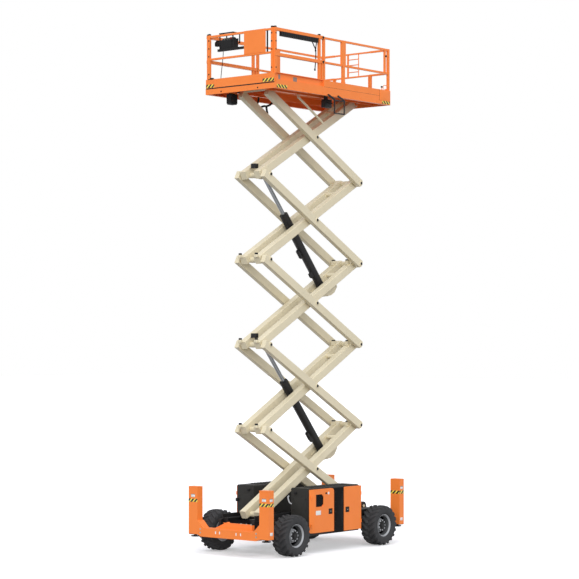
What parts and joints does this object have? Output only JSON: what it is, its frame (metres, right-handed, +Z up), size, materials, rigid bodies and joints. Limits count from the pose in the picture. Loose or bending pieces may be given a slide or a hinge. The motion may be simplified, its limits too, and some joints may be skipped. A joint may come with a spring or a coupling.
{
  "type": "scissor lift",
  "caption": "Rough-terrain scissor lift with a railed platform on a part-raised crossed-arm stack, hooded chassis, levelling jacks and lugged tyres.",
  "frame": {"origin": "on the ground, under the middle of the part's bounding box", "axes": "+X towards the steered end, +Y to the machine's left, +Z up"},
  "size_m": [4.479, 2.295, 10.5134],
  "materials": {
    "cream_paint": "gloss",
    "orange_paint": "gloss",
    "dark_paint": "satin",
    "black_plastic": "matte",
    "tyre_rubber": "matte",
    "rim_paint": "satin",
    "rod_chrome": "polished",
    "deck_steel": "satin"
  },
  "bodies": {
    "chassis": {"chassis_frame": "dark_paint", "front_jack_beam": "orange_paint", "rear_jack_beam": "orange_paint", "rear_axle": "dark_paint", "front_axle": "dark_paint", "left_hood": "dark_paint", "right_hood": "dark_paint", "engine": "dark_paint", "fluid_tank": "dark_paint"},
    "outer_1": {"outer_frame_1": "cream_paint"},
    "inner_1": {"inner_frame_1": "cream_paint"},
    "outer_2": {"outer_frame_2": "cream_paint"},
    "inner_2": {"inner_frame_2": "cream_paint"},
    "outer_3": {"outer_frame_3": "cream_paint"},
    "inner_3": {"inner_frame_3": "cream_paint"},
    "outer_4": {"outer_frame_4": "cream_paint"},
    "inner_4": {"inner_frame_4": "cream_paint"},
    "outer_5": {"outer_frame_5": "cream_paint"},
    "inner_5": {"inner_frame_5": "cream_paint"},
    "platform": {"platform_deck": "orange_paint", "platform_skirt": "orange_paint", "left_deck_track": "orange_paint", "right_deck_track": "orange_paint", "rear_hanger": "orange_paint", "fixed_rails": "orange_paint", "side_step": "black_plastic", "service_prop": "cream_paint", "junction_box": "black_plastic"},
    "lower_pads": {"lower_pads": "black_plastic"},
    "upper_pads": {"upper_pads": "black_plastic"},
    "lower_barrel": {"lower_cylinder_barrel": "dark_paint"},
    "lower_rod": {"lower_cylinder_rod": "rod_chrome"},
    "upper_barrel": {"upper_cylinder_barrel": "dark_paint"},
    "upper_rod": {"upper_cylinder_rod": "rod_chrome"},
    "left_knuckle": {"left_knuckle": "dark_paint"},
    "right_knuckle": {"right_knuckle": "dark_paint"},
    "front_left_wheel": {"front_left_rim": "rim_paint", "front_left_tyre": "tyre_rubber"},
    "front_left_jack": {"front_left_jack_leg": "dark_paint"},
    "front_right_wheel": {"front_right_rim": "rim_paint", "front_right_tyre": "tyre_rubber"},
    "front_right_jack": {"front_right_jack_leg": "dark_paint"},
    "rear_left_wheel": {"rear_left_rim": "rim_paint", "rear_left_tyre": "tyre_rubber"},
    "rear_left_jack": {"rear_left_jack_leg": "dark_paint"},
    "rear_right_wheel": {"rear_right_rim": "rim_paint", "rear_right_tyre": "tyre_rubber"},
    "rear_right_jack": {"rear_right_jack_leg": "dark_paint"},
    "left_front_door": {"left_front_door": "orange_paint"},
    "left_rear_door": {"left_rear_door": "orange_paint"},
    "right_front_door": {"right_front_door": "orange_paint"},
    "right_rear_door": {"right_rear_door": "orange_paint"},
    "gate": {"entry_gate": "orange_paint"},
    "extension": {"extension_deck": "orange_paint", "extension_rails": "orange_paint", "control_box": "black_plastic", "control_guard": "black_plastic", "cable_carrier": "black_plastic", "control_cable": "black_plastic"}
  },
  "joints": [
    {"name": "lift", "type": "hinge", "parent": "chassis", "child": "outer_1", "pos_m": [-1.588, 0, 0.784], "axis": [0, -1, 0], "range_deg": [-24.5, 26]},
    {"name": "centre_1", "type": "hinge", "parent": "outer_1", "child": "inner_1", "pos_m": [-0.10516, 0, 1.64065], "axis": [0, -1, 0], "range_deg": [-52.4, 49.4]},
    {"name": "front_1", "type": "hinge", "parent": "outer_1", "child": "inner_2", "pos_m": [1.37767, 0, 2.4973], "axis": [0, -1, 0], "range_deg": [-52.4, 49.4]},
    {"name": "centre_2", "type": "hinge", "parent": "inner_2", "child": "outer_2", "pos_m": [-0.10516, 0, 3.35395], "axis": [0, -1, 0], "range_deg": [-49.4, 52.4]},
    {"name": "rear_2", "type": "hinge", "parent": "inner_2", "child": "outer_3", "pos_m": [-1.588, 0, 4.2106], "axis": [0, -1, 0], "range_deg": [-49.4, 52.4]},
    {"name": "centre_3", "type": "hinge", "parent": "outer_3", "child": "inner_3", "pos_m": [-0.10516, 0, 5.06725], "axis": [0, -1, 0], "range_deg": [-52.4, 49.4]},
    {"name": "front_3", "type": "hinge", "parent": "outer_3", "child": "inner_4", "pos_m": [1.37767, 0, 5.9239], "axis": [0, -1, 0], "range_deg": [-52.4, 49.4]},
    {"name": "centre_4", "type": "hinge", "parent": "inner_4", "child": "outer_4", "pos_m": [-0.10516, 0, 6.78055], "axis": [0, -1, 0], "range_deg": [-49.4, 52.4]},
    {"name": "rear_4", "type": "hinge", "parent": "inner_4", "child": "outer_5", "pos_m": [-1.588, 0, 7.6372], "axis": [0, -1, 0], "range_deg": [-49.4, 52.4]},
    {"name": "centre_5", "type": "hinge", "parent": "outer_5", "child": "inner_5", "pos_m": [-0.10516, 0, 8.49385], "axis": [0, -1, 0], "range_deg": [-52.4, 49.4]},
    {"name": "rear_5", "type": "hinge", "parent": "inner_5", "child": "platform", "pos_m": [-1.588, 0, 9.3505], "axis": [0, -1, 0], "range_deg": [-24.9, 26.4]},
    {"name": "lower_pad_pivot", "type": "hinge", "parent": "inner_1", "child": "lower_pads", "pos_m": [1.37767, 0, 0.784], "axis": [0, -1, 0], "range_deg": [-24.9, 26.4]},
    {"name": "upper_pad_pivot", "type": "hinge", "parent": "outer_5", "child": "upper_pads", "pos_m": [1.37767, 0, 9.3505], "axis": [0, -1, 0], "range_deg": [-26.4, 24.9]},
    {"name": "lower_cylinder_foot", "type": "hinge", "parent": "inner_1", "child": "lower_barrel", "pos_m": [-0.83413, 0, 1.86314], "axis": [0, -1, 0], "range_deg": [-50.38, 53.44]},
    {"name": "lower_cylinder_stroke", "type": "slide", "parent": "lower_barrel", "child": "lower_rod", "axis": [0.643, 0, 0.7659], "range_m": [-0.8923, 0.9466]},
    {"name": "upper_cylinder_foot", "type": "hinge", "parent": "inner_3", "child": "upper_barrel", "pos_m": [-0.83413, 0, 5.28974], "axis": [0, -1, 0], "range_deg": [-50.38, 53.44]},
    {"name": "upper_cylinder_stroke", "type": "slide", "parent": "upper_barrel", "child": "upper_rod", "axis": [0.643, 0, 0.7659], "range_m": [-0.8923, 0.9466]},
    {"name": "left_steer", "type": "hinge", "parent": "chassis", "child": "left_knuckle", "pos_m": [1.431, 0.78, 0.4175], "axis": [0, 0, 1], "range_deg": [-28, 28]},
    {"name": "right_steer", "type": "hinge", "parent": "chassis", "child": "right_knuckle", "pos_m": [1.431, -0.78, 0.4175], "axis": [0, 0, 1], "range_deg": [-28, 28]},
    {"name": "front_left_spin", "type": "hinge", "parent": "left_knuckle", "child": "front_left_wheel", "pos_m": [1.431, 0.97, 0.4175], "axis": [0, 1, 0], "continuous": true},
    {"name": "front_left_jack_slide", "type": "slide", "parent": "chassis", "child": "front_left_jack", "axis": [0, 0, -1], "range_m": [0, 0.36]},
    {"name": "front_right_spin", "type": "hinge", "parent": "right_knuckle", "child": "front_right_wheel", "pos_m": [1.431, -0.97, 0.4175], "axis": [0, 1, 0], "continuous": true},
    {"name": "front_right_jack_slide", "type": "slide", "parent": "chassis", "child": "front_right_jack", "axis": [0, 0, -1], "range_m": [0, 0.36]},
    {"name": "rear_left_spin", "type": "hinge", "parent": "chassis", "child": "rear_left_wheel", "pos_m": [-1.452, 0.97, 0.4175], "axis": [0, 1, 0], "continuous": true},
    {"name": "rear_left_jack_slide", "type": "slide", "parent": "chassis", "child": "rear_left_jack", "axis": [0, 0, -1], "range_m": [0, 0.36]},
    {"name": "rear_right_spin", "type": "hinge", "parent": "chassis", "child": "rear_right_wheel", "pos_m": [-1.452, -0.97, 0.4175], "axis": [0, 1, 0], "continuous": true},
    {"name": "rear_right_jack_slide", "type": "slide", "parent": "chassis", "child": "rear_right_jack", "axis": [0, 0, -1], "range_m": [0, 0.36]},
    {"name": "left_front_door_hinge", "type": "hinge", "parent": "chassis", "child": "left_front_door", "pos_m": [0.82, 1.006, 0.85], "axis": [0, 0, -1], "range_deg": [0, 90]},
    {"name": "left_rear_door_hinge", "type": "hinge", "parent": "chassis", "child": "left_rear_door", "pos_m": [-0.808, 1.006, 0.85], "axis": [0, 0, 1], "range_deg": [0, 90]},
    {"name": "right_front_door_hinge", "type": "hinge", "parent": "chassis", "child": "right_front_door", "pos_m": [0.82, -1.006, 0.85], "axis": [0, 0, 1], "range_deg": [0, 90]},
    {"name": "right_rear_door_hinge", "type": "hinge", "parent": "chassis", "child": "right_rear_door", "pos_m": [-0.808, -1.006, 0.85], "axis": [0, 0, -1], "range_deg": [0, 90]},
    {"name": "gate_hinge", "type": "hinge", "parent": "platform", "child": "gate", "pos_m": [-1.898, -0.531, 9.9], "axis": [0, 0, -1], "range_deg": [0, 90]},
    {"name": "extension_slide", "type": "slide", "parent": "platform", "child": "extension", "axis": [1, 0, 0], "range_m": [0, 1.1]}
  ],
  "couplings": [
    {"joint": "centre_1", "follows": "lift", "ratio": -2},
    {"joint": "front_1", "follows": "lift", "ratio": -2},
    {"joint": "centre_2", "follows": "lift", "ratio": 2},
    {"joint": "rear_2", "follows": "lift", "ratio": 2},
    {"joint": "centre_3", "follows": "lift", "ratio": -2},
    {"joint": "front_3", "follows": "lift", "ratio": -2},
    {"joint": "centre_4", "follows": "lift", "ratio": 2},
    {"joint": "rear_4", "follows": "lift", "ratio": 2},
    {"joint": "centre_5", "follows": "lift", "ratio": -2},
    {"joint": "rear_5", "follows": "lift", "ratio": 1},
    {"joint": "lower_pad_pivot", "follows": "lift", "ratio": 1},
    {"joint": "upper_pad_pivot", "follows": "lift", "ratio": -1},
    {"joint": "lower_cylinder_foot", "follows": "lift", "ratio": 2.04},
    {"joint": "lower_cylinder_stroke", "follows": "lift", "m_per_rad": 2.075},
    {"joint": "upper_cylinder_foot", "follows": "lift", "ratio": 2.04},
    {"joint": "upper_cylinder_stroke", "follows": "lift", "m_per_rad": 2.075},
    {"joint": "right_steer", "follows": "left_steer", "ratio": 1}
  ]
}
